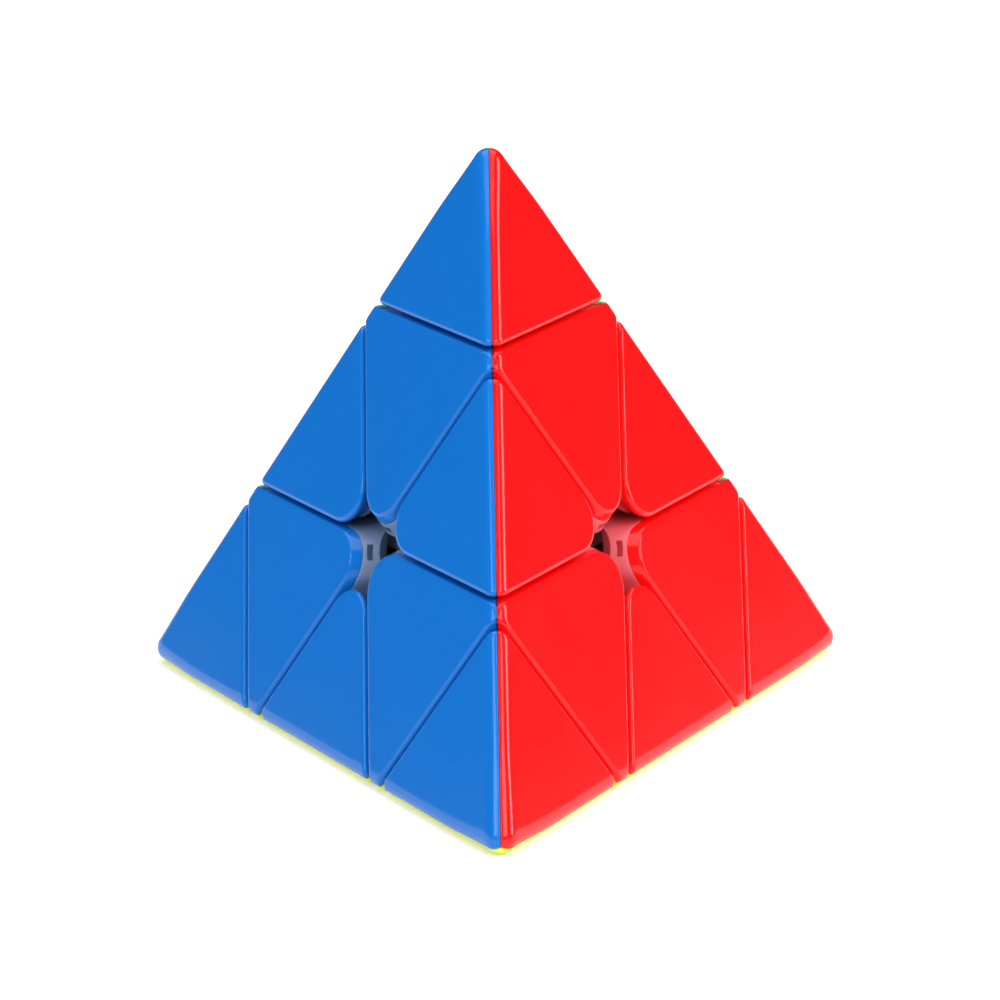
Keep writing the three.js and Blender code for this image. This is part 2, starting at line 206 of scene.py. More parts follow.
# Each kind of shell: the face it lies on, the faces next to it over a long edge, and its cuts.
shellKinds = {
    "tip": {"face": 1, "beside": (2, 3), "cuts": [(-localCorners[0], -tipAbove)]},
    "axial": {
        "face": 1,
        "beside": (2, 3),
        "cuts": [(localCorners[0], tipBelow), (localCorners[2], layerBelow), (localCorners[3], layerBelow)],
    },
    "edge": {
        "face": 3,
        "beside": (2,),
        "cuts": [(-localCorners[0], -layerAbove), (-localCorners[1], -layerAbove)],
    },
}


# The planes halfway between a face and the ones beside it, where two shells meet.
def seamsOf(kind):
    seams = []
    for other in kind["beside"]:
        across = localCorners[kind["face"]] - localCorners[other]
        seams.append((across / np.linalg.norm(across), -shellSizes["seam"] / 2))
    return seams


# Roof of a shell: its face, rounded over each long edge and, on a tip, into the corner's ball.
def roofOf(points, kind, inset):
    sizes = shellSizes
    face = pastPlane(points, faceOpposite(kind["face"]), inset)
    if len(kind["cuts"]) == 1:
        height = points @ localCorners[0]
        share = smoothShare(height, *(3 * faceReach - distance for distance in sizes["cornerBlend"]))
        radius = sizes["edgeRound"] + (sizes["cornerRound"] - sizes["edgeRound"]) * share
        planes = [faceOpposite(corner) for corner in (kind["face"], *kind["beside"])]
        return roundedCorner(points, planes, np.maximum(radius - inset, sizes["pocketRound"]), inset)
    radius = max(sizes["edgeRound"] - inset, sizes["pocketRound"])
    beside = [pastPlane(points, faceOpposite(other), inset) for other in kind["beside"]]
    roofs = [rounded(face, other, radius) for other in beside]
    return roofs[0] if len(roofs) == 1 else larger(*roofs)


# Flanks of a shell: its cuts, rounded where two of them meet at the opening.
def flanksOf(points, kind, inset):
    cuts = [pastPlane(points, plane, inset) for plane in kind["cuts"]]
    if len(cuts) == 1:
        return cuts[0]
    flank = rounded(cuts[-2], cuts[-1], shellSizes["openingRound"] - inset)
    return larger(flank, cuts[0]) if len(cuts) == 3 else flank


# Share that is 0 around the middle of a face and grows smoothly to 1 away from it.
def awayFromOpening(points, faceNormal):
    fromMiddle = np.linalg.norm(points - (points @ faceNormal)[..., None] * faceNormal, axis=-1)
    return smoothShare(fromMiddle, *shellSizes["openingBlend"])


# Depth of a shell's skirt: full, but on an axial shallow around the opening.
def skirtDepth(points, faceNormal, openingDepth):
    return openingDepth + (shellSizes["depth"] - openingDepth) * awayFromOpening(points, faceNormal)


# How far points lie past a shell's seams.
def seamDistance(points, kind, inset):
    seams = [pastPlane(points, plane, inset) for plane in seamsOf(kind)]
    return seams[0] if len(seams) == 1 else larger(*seams)


# The whole shell, or with insets its pocket: roof and flanks meet over the rim's round, and the seams
# are cut with a smaller one.
def shellDistance(points, kind, topInset, sideInset):
    sizes = shellSizes
    rim = sizes["rimRound"] if sideInset == 0 else sizes["pocketRound"]
    body = rounded(roofOf(points, kind, topInset), flanksOf(points, kind, sideInset), rim)
    return rounded(body, seamDistance(points, kind, sideInset), sizes["seamRound"])[0]


# Outline of the pivots: straight stretches along the sides, and an arc about each corner; around the
# opening the pivots are raised. Gives the pivots, the outward direction at each and the face's own.
def pivotOutline(kind, depths, cutInset, seamInset, openingRadius):
    sizes = shellSizes
    shallow, depth = depths
    up = -localCorners[kind["face"]]
    toCorner = localCorners[0] - up * (up @ localCorners[0])
    north = toCorner / np.linalg.norm(toCorner)
    east = np.cross(north, up)

    def bearing(plane):
        return math.atan2(plane[0] @ north, plane[0] @ east)

    sides = [(plane, cutInset, True) for plane in kind["cuts"]]
    sides += [(plane, seamInset, False) for plane in seamsOf(kind)]
    sides.sort(key=lambda side: bearing(side[0]))
    count = len(sides)
    corner, arcs, ways = [], [], []
    for index, (plane, inset, _) in enumerate(sides):
        following, nextInset, _ = sides[(index + 1) % count]
        normals = np.array([up, plane[0], following[0]])
        reaches = [faceReach - depth, plane[1] - inset, following[1] - nextInset]
        corner.append(np.linalg.solve(normals, reaches))
    for index, (plane, _, isCut) in enumerate(sides):
        following, _, nextIsCut = sides[(index + 1) % count]
        start = bearing(plane)
        turn = (bearing(following) - start) % (2 * math.pi)
        radius = openingRadius if isCut and nextIsCut else sizes["pivotRound"]
        steps = max(sizes["leastTurnSteps"], round(math.degrees(turn) / sizes["turnStep"]))
        angles = start + turn * np.linspace(0, 1, steps + 1)
        direction = np.cos(angles)[:, None] * east + np.sin(angles)[:, None] * north
        middle = corner[index] - radius / (1 + math.cos(turn)) * (direction[0] + direction[-1])
        arcs.append(middle + radius * direction)
        ways.append(direction)
    share = np.linspace(0, 1, sizes["sideSteps"] + 2)[1:-1, None]
    pivots, outward = [], []
    for index, (arc, way) in enumerate(zip(arcs, ways)):
        nextArc = arcs[(index + 1) % count]
        pivots += [arc, arc[-1] + (nextArc[0] - arc[-1]) * share]
        outward += [way, np.repeat(way[-1:], len(share), 0)]
    pivots = np.concatenate(pivots)
    raised = (depth - shallow) * (1 - awayFromOpening(pivots, up))
    return pivots + raised[:, None] * up, np.concatenate(outward), up


# How far a ray from inside runs before it leaves a shape, by halving.
def leaves(distance, start, direction, reach=60.0):
    near = np.zeros(start.shape[:-1])
    far = np.full(start.shape[:-1], reach)
    for _ in range(halvings):
        middle = (near + far) / 2
        outside = distance(start + direction * middle[..., None]) > 0
        near, far = np.where(outside, near, middle), np.where(outside, middle, far)
    return start + direction * near[..., None]


# The angle at which each fan of rays first passes an edge, by halving between two trial angles.
def crossing(isPast, trial):
    first = np.maximum(np.argmax(isPast(trial), 0), 1)
    column = np.arange(trial.shape[1])
    near, far = trial[first - 1, column], trial[first, column]
    for _ in range(angleHalvings):
        middle = (near + far) / 2
        past = isPast(middle)
        near, far = np.where(past, near, middle), np.where(past, middle, far)
    return near


# A shell's surface as a function of two parameters: the first picks a pivot, and the second is the angle
# of a ray that swings from straight up, over the rim, down to the skirt's end. The point is where the
# ray leaves the shape. The angle's steps are finest at the rim.
def fanRings(kind, pivots, outward, up, topInset, sideInset, steps):
    sizes = shellSizes
    openingDepth = sizes["openingDepth" if len(kind["cuts"]) == 3 else "depth"]

    def underDistance(points):
        return faceReach - points @ up - skirtDepth(points, up, openingDepth)

    def shape(points):
        return np.maximum(shellDistance(points, kind, topInset, sideInset), underDistance(points))

    def at(angles):
        direction = np.cos(angles)[..., None] * up + np.sin(angles)[..., None] * outward
        return leaves(shape, np.broadcast_to(pivots, direction.shape), direction)

    def pastRim(hits):
        side = np.maximum(flanksOf(hits, kind, sideInset)[0], seamDistance(hits, kind, sideInset)[0])
        return side > roofOf(hits, kind, topInset)[0]

    def pastSkirt(hits):
        return underDistance(hits) > -foundWithin

    start, end, count = sizes["trialAngles"]
    trial = np.linspace(start, end, count)[:, None] * np.ones(len(pivots))
    rim = crossing(lambda angles: pastRim(at(angles)), trial)
    skirt = crossing(lambda angles: pastSkirt(at(angles)), trial)
    rise = 1 - np.linspace(1, 0, steps[0] + 1)[:, None] ** sizes["rimCrowding"]
    fall = np.linspace(0, 1, steps[1] + 1)[1:, None] ** sizes["rimCrowding"]
    return at(np.concatenate([rim * rise, rim + (skirt - rim) * fall]))


# Rings over the outside of a shell, round its skirt and back over the inside of its pocket; flat caps
# close the middle of the outside and of the pocket.
def shellRings(kind):
    sizes = shellSizes
    radius = sizes["openingRound"] - sizes["cutPivot"]
    pivots, outward, up = pivotOutline(
        kind, sizes["pivotDepth"], sizes["cutPivot"], sizes["seamPivot"], radius)
    outer = fanRings(kind, pivots, outward, up, 0.0, 0.0, sizes["rimSteps"])
    within = sizes["wall"] + sizes["pocketPivot"]
    innerPivots, innerOutward, _ = pivotOutline(
        kind, sizes["pocketPivotDepth"], within, within, sizes["openingRound"] - within)
    inner = fanRings(
        kind, innerPivots, innerOutward, up, sizes["plate"], sizes["wall"], sizes["pocketSteps"])

    def cap(ring):
        shares = np.linspace(0, 1, sizes["capSteps"] + 1)[1:-1]
        return [ring.mean(0) + (ring - ring.mean(0)) * share for share in shares]

    rings = [*cap(outer[0]), *outer, *inner[::-1], *cap(inner[0])[::-1]]
    return np.array(rings), outer[0].mean(0), inner[0].mean(0)


# The white bases: one body under the shells of each axial and edge piece.
baseSizes = {
    "shellGap": 0.06,  # under a shell's skirt
    "wallGap": 0.1,  # inside a shell's wall and plate
    "ball": 16.25,  # radius of the room for the feet, about the core
    "boreRadius": 8.35,  # around the hub
    "edgeOpeningRound": 4.4,
    "leastRound": 0.5,
    "axialPivot": 11.0,  # height of the point that an axial's rays start from
    "edgePivot": 22.0,
    "around": 300,
    "crowding": 0.8,  # share by which the steps close up at the openings
    "down": 96,
    "lowerCrowding": 2.2,  # power by which they close up at the lower edge
    "innerStride": 4,  # one ring inside for this many outside
    "thin": 0.01,  # closer than this, the outside and the ball count as meeting
    "trialAngles": (0.3, math.radians(140), 60),  # first after the bore, last, and how many
    "edgeSteps": (180, 90),
    "slotDepth": 1.0,
    "slotPlace": 2.2,  # below the face
    "slotHeight": 0.58,
    "slotLength": 2.3,
}


# Outside of a base: under the shells it follows the cuts, and a smaller body fills the shells'
# pockets. The core's side is hollowed to a ball, in which the feet run.
def baseOutside(points, faces, flank, limits, openingDepth):
    sizes, shell = baseSizes, shellSizes
    depths = [faceReach + points @ localCorners[face] for face in faces]
    skirts = [skirtDepth(points, -localCorners[face], openingDepth) for face in faces]
    roofs = [skirt - depth for skirt, depth in zip(skirts, depths)]
    thick = shell["wall"] + sizes["wallGap"]
    below = np.maximum.reduce([*(roof + sizes["shellGap"] for roof in roofs), flank(0.0), *limits])
    filling = np.maximum.reduce([
        *(shell["plate"] + sizes["wallGap"] - depth for depth in depths),
        flank(thick), *(limit + thick for limit in limits)])
    return np.minimum(below, filling)


# An axial's base: its upper cut, the three layer cuts rounded where they meet at the openings, and its
# lower side, with the slots taken out.
def axialOutside(points):
    height = points @ localCorners[0]

    def flank(inset):
        past = [pastPlane(points, (localCorners[corner], layerBelow), inset) for corner in (1, 2, 3)]
        radius = shellSizes["openingRound"] - inset
        return np.maximum.reduce([rounded(past[index], past[index - 1], radius)[0] for index in range(3)])

    body = baseOutside(points, (1, 2, 3), flank, [height - tipBelow], shellSizes["openingDepth"])
    body = np.maximum(body, layerAbove - height)
    wall = flank(0.0)
    for face, first, second in ((1, 2, 3), (2, 3, 1), (3, 1, 2)):
        across = localCorners[first] - localCorners[second]
        body = np.maximum(body, -slotDistance(points, face, across, wall))
    return body


# A small slot in the wall at an opening. Its sides fan out from the point that the rays start from,
# and its middle is where the rounded wall lies a given depth below the face.
def slotDistance(points, face, across, wall):
    sizes, radius = baseSizes, shellSizes["openingRound"]
    toOpening = localCorners[0] * (localCorners[face] @ localCorners[0]) - localCorners[face]
    toOpening = toOpening / np.linalg.norm(toOpening)
    faceLine = (wide, -low)
    wallLine = (math.sqrt(2 / 3), -1 / math.sqrt(3))
    reaches = [faceReach - sizes["slotPlace"], (layerBelow - radius) * math.sqrt(3) + radius]
    outMiddle, heightMiddle = np.linalg.solve([faceLine, wallLine], reaches)
    out = np.maximum(points @ toOpening, outMiddle / 2)
    share = outMiddle / out
    rise = (points @ localCorners[0] - sizes["axialPivot"]) * share - (heightMiddle - sizes["axialPivot"])
    sideways = points @ across / np.linalg.norm(across) * share
    return np.maximum.reduce([
        np.abs(rise) - sizes["slotHeight"] / 2,
        np.abs(sideways) - sizes["slotLength"] / 2,
        -wall - sizes["slotDepth"],
        outMiddle / 2 - points @ toOpening,
    ])


# An edge piece's base: its two cuts, rounded where they meet, outside the ball for the feet.
def edgeOutside(points):
    sizes = baseSizes

    def flank(inset):
        past = [pastPlane(points, (-localCorners[corner], -layerAbove), inset) for corner in (0, 1)]
        return rounded(*past, max(sizes["edgeOpeningRound"] - inset, sizes["leastRound"]))[0]

    body = baseOutside(points, (2, 3), flank, [], shellSizes["depth"])
    return np.maximum(body, sizes["ball"] - np.linalg.norm(points, axis=-1))


# The ball for the feet: the distance from the core's middle less its radius.
def insideBall(points):
    return np.linalg.norm(points, axis=-1) - baseSizes["ball"]


# Rays from one point in every direction: angles are measured from an axis, bearings around it.
def raysTo(shape, pivot, axis, out, angles):
    direction = np.cos(angles)[..., None] * axis + np.sin(angles)[..., None] * out
    hits = leaves(shape, np.broadcast_to(pivot, direction.shape), direction)
    return hits, np.linalg.norm(hits - pivot, axis=-1)


# An axial's base as a function of bearing and angle: the point is where a ray from the pivot leaves the
# outside. Outer rings swing from the bore for the hub down to the lower edge, where the outside meets
# the ball, and inner rings swing back up over the ball.
def axialBaseRings():
    sizes = baseSizes
    even = np.linspace(0, 2 * math.pi, sizes["around"], endpoint=False)
    bearing = even + sizes["crowding"] / 3 * np.sin(3 * even)
    out = np.stack([np.cos(bearing), np.sin(bearing), np.zeros(len(bearing))], -1)
    axis = localCorners[0]
    pivot = sizes["axialPivot"] * axis

    def isThin(angles):
        reach = [raysTo(shape, pivot, axis, out, angles)[1] for shape in (axialOutside, insideBall)]
        return reach[0] - reach[1] < sizes["thin"]

    bore = sizes["boreRadius"]
    start = math.atan2(bore, tipBelow - sizes["axialPivot"])
    innerStart = math.atan2(bore, math.sqrt(sizes["ball"] ** 2 - bore**2) - sizes["axialPivot"])
    trialStart, trialEnd, count = sizes["trialAngles"]
    trial = np.linspace(start + trialStart, trialEnd, count)[:, None] * np.ones(len(bearing))
    lower = crossing(isThin, trial)
    share = 1 - np.linspace(1, 0, sizes["down"] + 1)[:, None] ** sizes["lowerCrowding"]
    innerShare = share[:: sizes["innerStride"]]
    outer = raysTo(axialOutside, pivot, axis, out, start + (lower - start) * share)[0]
    inner = raysTo(insideBall, pivot, axis, out, innerStart + (lower - innerStart) * innerShare)[0]
    return np.concatenate([outer, inner[::-1]])


# An edge piece's base as a function of bearing and angle: rays swing from its outer ridge right round
# to the side of the core, and the point is where each leaves the outside.
def edgeBaseRings():
    around, down = baseSizes["edgeSteps"]
    middle = localCorners[0] + localCorners[1]
    axis = middle / np.linalg.norm(middle)
    along = localCorners[0] - localCorners[1]
    along = along / np.linalg.norm(along)
    bearing = np.linspace(0, 2 * math.pi, around, endpoint=False)[:, None]
    out = np.cos(bearing) * along + np.sin(bearing) * np.cross(axis, along)
    angles = np.linspace(0, math.pi, down + 2)[1:-1, None] * np.ones(around)
    pivot = baseSizes["edgePivot"] * axis
    rings = raysTo(edgeOutside, pivot, axis, out, angles)[0]
    ends = [raysTo(edgeOutside, pivot, axis, out[:1], np.array([angle]))[0][0] for angle in (0.0, math.pi)]
    return rings, *ends


# The turned hub in each axial's base.
hubSizes = {
    "coreGap": 10.8,  # radius of the ball under the stalk
    "armRoom": 3.6,  # inner radius of the stalk
    "stalkRadius": 4.95,
    "floor": (13.7, 15.1),  # heights of its two sides
    "screwRoom": 1.7,
    "flange": (16.1, 17.5),  # inner and outer radius about the core
    "flangeAngle": 41,  # degrees from the axis to its edge
    "barrelRadius": 8.2,
    "pocket": (3.4, 3.0),  # radius and depth of the spring's pocket
    "wellRadius": 4.4,
    "lip": (3.55, 1.7),  # radius and height
    "wellRise": 1.0,  # from the pocket's mouth to the well's wall
    "topGap": 0.1,  # below the cut
    "corner": 0.3,  # how far each corner's curve reaches along both sides
    "cornerSteps": 4,
    "cornerMost": 0.45,  # and at most this share of a side
    "undersideSteps": 9,
    "upperSteps": 5,
    "around": 96,
}


# Each corner of a closed profile becomes a short curve: a parabola between the points that lie a
# given distance before and after it.
def softened(profile):
    sizes = hubSizes

    def shorter(side):
        share = sizes["corner"] / np.linalg.norm(side, axis=1)
        return side * np.minimum(share, sizes["cornerMost"])[:, None]

    first = profile + shorter(np.roll(profile, 1, 0) - profile)
    last = profile + shorter(np.roll(profile, -1, 0) - profile)
    t = np.linspace(0, 1, sizes["cornerSteps"])[None, :, None]
    curve = (1 - t) ** 2 * first[:, None] + 2 * t * (1 - t) * profile[:, None] + t**2 * last[:, None]
    return curve.reshape(-1, 2)


# Points of (radius, height) on a ball about the core.
def onBall(radius, fromAngle, toAngle, steps):
    angles = np.linspace(fromAngle, toAngle, steps)
    return np.stack([radius * np.sin(angles), radius * np.cos(angles)], -1)


# The hub's profile as points of (radius, height): the stalk, the flange's two sides on balls about the
# core, and the barrel with the spring's well. It runs the way that turns the faces outward.
def hubProfile():
    sizes = hubSizes
    inner, outer = sizes["flange"]
    lipRadius, lipHeight = sizes["lip"]
    pocketRadius, pocketDepth = sizes["pocket"]
    bottom, floor = sizes["floor"]
    edge = math.radians(sizes["flangeAngle"])
    top = tipBelow - sizes["topGap"]
    mouth = floor + pocketDepth
    stalk = [
        (sizes["screwRoom"], bottom),
        (sizes["armRoom"], bottom),
        (sizes["armRoom"], sizes["coreGap"]),
        (sizes["stalkRadius"], sizes["coreGap"]),
    ]
    underside = onBall(inner, math.asin(sizes["stalkRadius"] / inner), edge, sizes["undersideSteps"])
    upperSide = onBall(outer, edge, math.asin(sizes["barrelRadius"] / outer), sizes["upperSteps"])
    barrel = [
        (sizes["barrelRadius"], top),
        (lipRadius, top),
        (lipRadius, top - lipHeight),
        (sizes["wellRadius"], top - lipHeight),
        (sizes["wellRadius"], mouth + sizes["wellRise"]),
        (pocketRadius, mouth),
        (pocketRadius, floor),
        (sizes["screwRoom"], floor),
    ]
    return np.concatenate([stalk, underside, upperSide, barrel])[::-1]


# A profile of (radius, height) carried once round the axis.
def turnedRings(profile, around):
    angles = np.linspace(0, 2 * math.pi, around, endpoint=False)
    radius, height = profile[:, :1], profile[:, 1:]
    rings = [radius * np.cos(angles), radius * np.sin(angles), height * np.ones(around)]
    return np.stack(rings, -1)


sharpAngles = {"loop": 34, "rings": 38}  # degrees past which an edge is shaded sharp


# A closed mesh from rings that follow each other and join up again, like a doughnut.
def meshFromLoop(name, rings, turn):
    count, around = rings.shape[:2]
    points = rings.reshape(-1, 3) @ turn.T * metresPerMm
    level, place = np.meshgrid(np.arange(count), np.arange(around), indexing="ij")
    nextLevel, following = (level + 1) % count, (place + 1) % around
    quads = np.stack([
        level * around + place,
        nextLevel * around + place,
        nextLevel * around + following,
        level * around + following,
    ], -1).reshape(-1, 4)
    return finishedMesh(name, points, quads.tolist(), sharpAngles["loop"])


def finishedMesh(name, points, faces, sharpAngle):
    mesh = bpy.data.meshes.new(name)
    mesh.from_pydata(points.tolist(), [], faces)
    mesh.polygons.foreach_set("use_smooth", np.ones(len(mesh.polygons), bool))
    mesh.set_sharp_from_angle(angle=math.radians(sharpAngle))
    mesh.update()
    piece = bpy.data.objects.new(name, mesh)
    bpy.context.scene.collection.objects.link(piece)
    return piece


# A closed mesh from rings of equal length, with a point at either end.
def meshFromRings(name, rings, first, last, turn):
    count, around = rings.shape[:2]
    points = np.concatenate([rings.reshape(-1, 3), [first, last]]) @ turn.T * metresPerMm
    level, place = np.meshgrid(np.arange(count - 1), np.arange(around), indexing="ij")
    following = (place + 1) % around
    quads = np.stack([
        (level + 1) * around + place,
        (level + 1) * around + following,
        level * around + following,
        level * around + place,
    ], -1).reshape(-1, 4)
    ring = np.arange(around)
    nextRing = (ring + 1) % around
    firstFan = np.stack([np.full(around, count * around), ring, nextRing], -1)
    base = (count - 1) * around
    lastFan = np.stack([np.full(around, count * around + 1), base + nextRing, base + ring], -1)
    faces = [*quads.tolist(), *firstFan.tolist(), *lastFan.tolist()]
    return finishedMesh(name, points, faces, sharpAngles["rings"])


# A socket that arithmetic can be written on.
class Value:
    def __init__(self, tree, socket):
        self.tree, self.socket = tree, socket

    def do(self, operation, first, second):
        node = self.tree.add("ShaderNodeMath", {"operation": operation}, {0: first, 1: second})
        return node["Value"]

    def __add__(self, other):
        return self.do("ADD", self, other)

    def __radd__(self, other):
        return self.do("ADD", other, self)

    def __sub__(self, other):
        return self.do("SUBTRACT", self, other)

    def __rsub__(self, other):
        return self.do("SUBTRACT", other, self)

    def __mul__(self, other):
        return self.do("MULTIPLY", self, other)

    def __rmul__(self, other):
        return self.do("MULTIPLY", other, self)


# A node that has been made: its outputs, by name or number, come as values.
class Made:
    def __init__(self, tree, node):
        self.tree, self.node = tree, node

    def __getitem__(self, output):
        return Value(self.tree, self.node.outputs[output])


# A new material's node tree. Every node is made by its method "add".
class Tree:
    def __init__(self, name):
        self.material = bpy.data.materials.new(name)
        self.material.use_nodes = True
        self.nodes = self.material.node_tree.nodes
        self.links = self.material.node_tree.links
        self.nodes.clear()

    def add(self, kind, settings=None, sockets=None):
        node = self.nodes.new(kind)
        for setting, value in (settings or {}).items():
            setattr(node, setting, value)
        for socket, value in (sockets or {}).items():
            if isinstance(value, Value):
                self.links.new(value.socket, node.inputs[socket])
            else:
                node.inputs[socket].default_value = value
        return Made(self, node)

    # Mixes two colours; the Mix node's colour sockets go by number, as their names are repeated.
    def mixed(self, factor, first, second, blend="MIX"):
        settings = {"data_type": "RGBA", "blend_type": blend}
        return self.add("ShaderNodeMix", settings, {"Factor": factor, 6: first, 7: second})[2]

    # Noise with features of about the given size, in metres of the object's own space.
    def noise(self, size, detail=2.0):
        place = self.add("ShaderNodeTexCoord")["Object"]
        sockets = {"Vector": place, "Scale": 1 / size, "Detail": detail}
        return self.add("ShaderNodeTexNoise", {}, sockets)["Fac"]

    def show(self, shader):
        self.add("ShaderNodeOutputMaterial", {}, {"Surface": shader["BSDF"]})
        return self.material


shellFinish = {
    "roughness": 0.17,
    "specular": 0.2,
    "coat": 0.22,
    "coatRoughness": 0.05,
    "grainSize": 0.00022,  # sizes in metres
    "grainRoughness": 0.05,
    "grainHeight": 0.12,
    "peelSize": 0.0022,
    "peelDetail": 1.0,
    "peelHeight": 0.6,
    "bumpStrength": 0.05,
    "bumpDistance": 0.0002,
    "smudgeSize": 0.018,
    "smudgeDetail": 4.0,
    "smudgeRoughness": 0.08,
    "smudgeStart": 0.35,
    "smudgeShare": 0.6,
    "palerShare": 0.96,
    "palerLift": 0.004,
    "colours": {
        "blue": (0.004, 0.160, 0.585),
        "red": (1.0, 0.005, 0.006),
        "yellow": (0.74, 0.80, 0.045),
        "green": (0.012, 0.42, 0.07),
    },
}


# Gloss moulded plastic: fine grain and orange peel in the coat, and faint smudges.
def shellMaterial(colourName):
    finish = shellFinish
    tree = Tree(f"{colourName}GlossPlastic")
    grain = tree.noise(finish["grainSize"])
    peel = tree.noise(finish["peelSize"], finish["peelDetail"])
    smudge = tree.noise(finish["smudgeSize"], finish["smudgeDetail"])
    colour = finish["colours"][colourName]
    paler = [finish["palerShare"] * channel + finish["palerLift"] for channel in colour]
    smudged = (smudge - finish["smudgeStart"]) * finish["smudgeShare"]
    fromSmudge = (smudge - 0.5) * finish["smudgeRoughness"]
    fromGrain = (grain - 0.5) * finish["grainRoughness"]
    bump = tree.add("ShaderNodeBump", {}, {
        "Height": peel * finish["peelHeight"] + grain * finish["grainHeight"],
        "Strength": finish["bumpStrength"],
        "Distance": finish["bumpDistance"],
    })
    return tree.show(tree.add("ShaderNodeBsdfPrincipled", {}, {
        "Base Color": tree.mixed(smudged, (*colour, 1), (*paler, 1)),
        "Roughness": finish["roughness"] + fromSmudge + fromGrain,
        "Normal": bump["Normal"],
        "IOR": 1.5,
        "Specular IOR Level": finish["specular"],
        "Coat Weight": finish["coat"],
        "Coat Roughness": finish["coatRoughness"],
    }))


whiteFinish = {
    "white": (0.60, 0.63, 0.66),
    # painted bounce light and shade: darker, tinted colours standing in for light off each face's shells
    # and the shade in its opening
    "paintedBounceShade": {
        "blue": (0.17, 0.25, 0.40),
        "red": (0.80, 0.13, 0.16),
        "yellow": (0.66, 0.68, 0.30),
        "green": (0.20, 0.44, 0.27),
    },
    "bleedReach": (11.0, 17.0),  # from the middle of a face
    "roughness": 0.4,
    "grainSize": 0.00025,
    "grainRoughness": 0.15,
    "bumpStrength": 0.1,
    "bumpDistance": 0.0001,
    "cloudSize": 0.011,
    "cloudColour": (0.80, 0.82, 0.86),
    "cloudShare": 0.25,
    "cloudRoughness": 0.1,
}


# Satin white plastic; where asked, its colour is the piece's own colour attribute, which holds painted
# bounce light and shade near the openings.
def whiteMaterial(name, withPaintedBounce):
    finish = whiteFinish
    tree = Tree(name)
    grain = tree.noise(finish["grainSize"])
    cloud = tree.noise(finish["cloudSize"])
    colour = (*finish["white"], 1)
    if withPaintedBounce:
        colour = tree.add("ShaderNodeAttribute", {"attribute_name": "paintedBounceShade"})["Color"]
    fromGrain = (grain - 0.5) * finish["grainRoughness"]
    fromCloud = (cloud - 0.5) * finish["cloudRoughness"]
    cloudColour = (*finish["cloudColour"], 1)
    bump = tree.add("ShaderNodeBump", {}, {
        "Height": grain,
        "Strength": finish["bumpStrength"],
        "Distance": finish["bumpDistance"],
    })
    return tree.show(tree.add("ShaderNodeBsdfPrincipled", {}, {
        "Base Color": tree.mixed(cloud * finish["cloudShare"], colour, cloudColour, "MULTIPLY"),
        "Roughness": finish["roughness"] + fromGrain + fromCloud,
        "Normal": bump["Normal"],
    }))


steelFinish = {
    "colour": (0.56, 0.57, 0.58),
    "roughness": 0.28,
    "grainSize": 1 / 3000,
    "grainRoughness": 0.2,
}


def steelMaterial():
    finish = steelFinish
    tree = Tree("brightSteel")
    fromGrain = (tree.noise(finish["grainSize"]) - 0.5) * finish["grainRoughness"]
    return tree.show(tree.add("ShaderNodeBsdfPrincipled", {}, {
        "Base Color": (*finish["colour"], 1),
        "Metallic": 1.0,
        "Roughness": finish["roughness"] + fromGrain,
    }))


shellMaterials = {name: shellMaterial(name) for name in shellFinish["colours"]}
white = whiteMaterial("whiteSatinPlastic", False)
# white painted with the shells' bounce light and the openings' shade
whiteWithPaintedBounce = whiteMaterial("whitePlasticPaintedBounceShade", True)
steel = steelMaterial()
print("materials", len(shellMaterials) + 3)


# Each kind of shell is worked out once and then turned to its places.
made = {name: shellRings(kind) for name, kind in shellKinds.items()}
for name, (rings, _, _) in made.items():
    print("shell", name, rings.shape)


def placeShell(node, kindName, colourName, body, turn):
    rings, first, last = made[kindName]
    piece = meshFromRings(f"{node}_moulded", rings, first, last, turn)
    piece.data.materials.append(shellMaterials[colourName])
    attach(piece, body)
    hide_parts(node)


names = list(corners)
for corner in names:
    for opposite in names:
        if opposite != corner:
            colour = faceColours[opposite]
            turn = turnTo(corner, opposite)
            placeShell(f"axial_{corner}_shell_{colour}", "axial", colour, f"axial_{corner}", turn)
            placeShell(f"tip_{corner}_shell_{colour}", "tip", colour, f"tip_{corner}", turn)
for index, firstCorner in enumerate(names):
    for secondCorner in names[index + 1:]:
        for corner, neighbour in ((firstCorner, secondCorner), (secondCorner, firstCorner)):
            turn = turnTo(corner, neighbour)
            shown = turn @ localCorners[3]
            opposite = max(names, key=lambda other: corners[other] @ shown)
            colour = faceColours[opposite]
            edge = f"edge_{firstCorner}_{secondCorner}"
            placeShell(f"{edge}_shell_{colour}", "edge", colour, edge, turn)
print("shells placed")

axialBase = axialBaseRings()
edgeBase = edgeBaseRings()
hub = turnedRings(softened(hubProfile()), hubSizes["around"])
print("bases", axialBase.shape, edgeBase[0].shape, "hub", hub.shape)


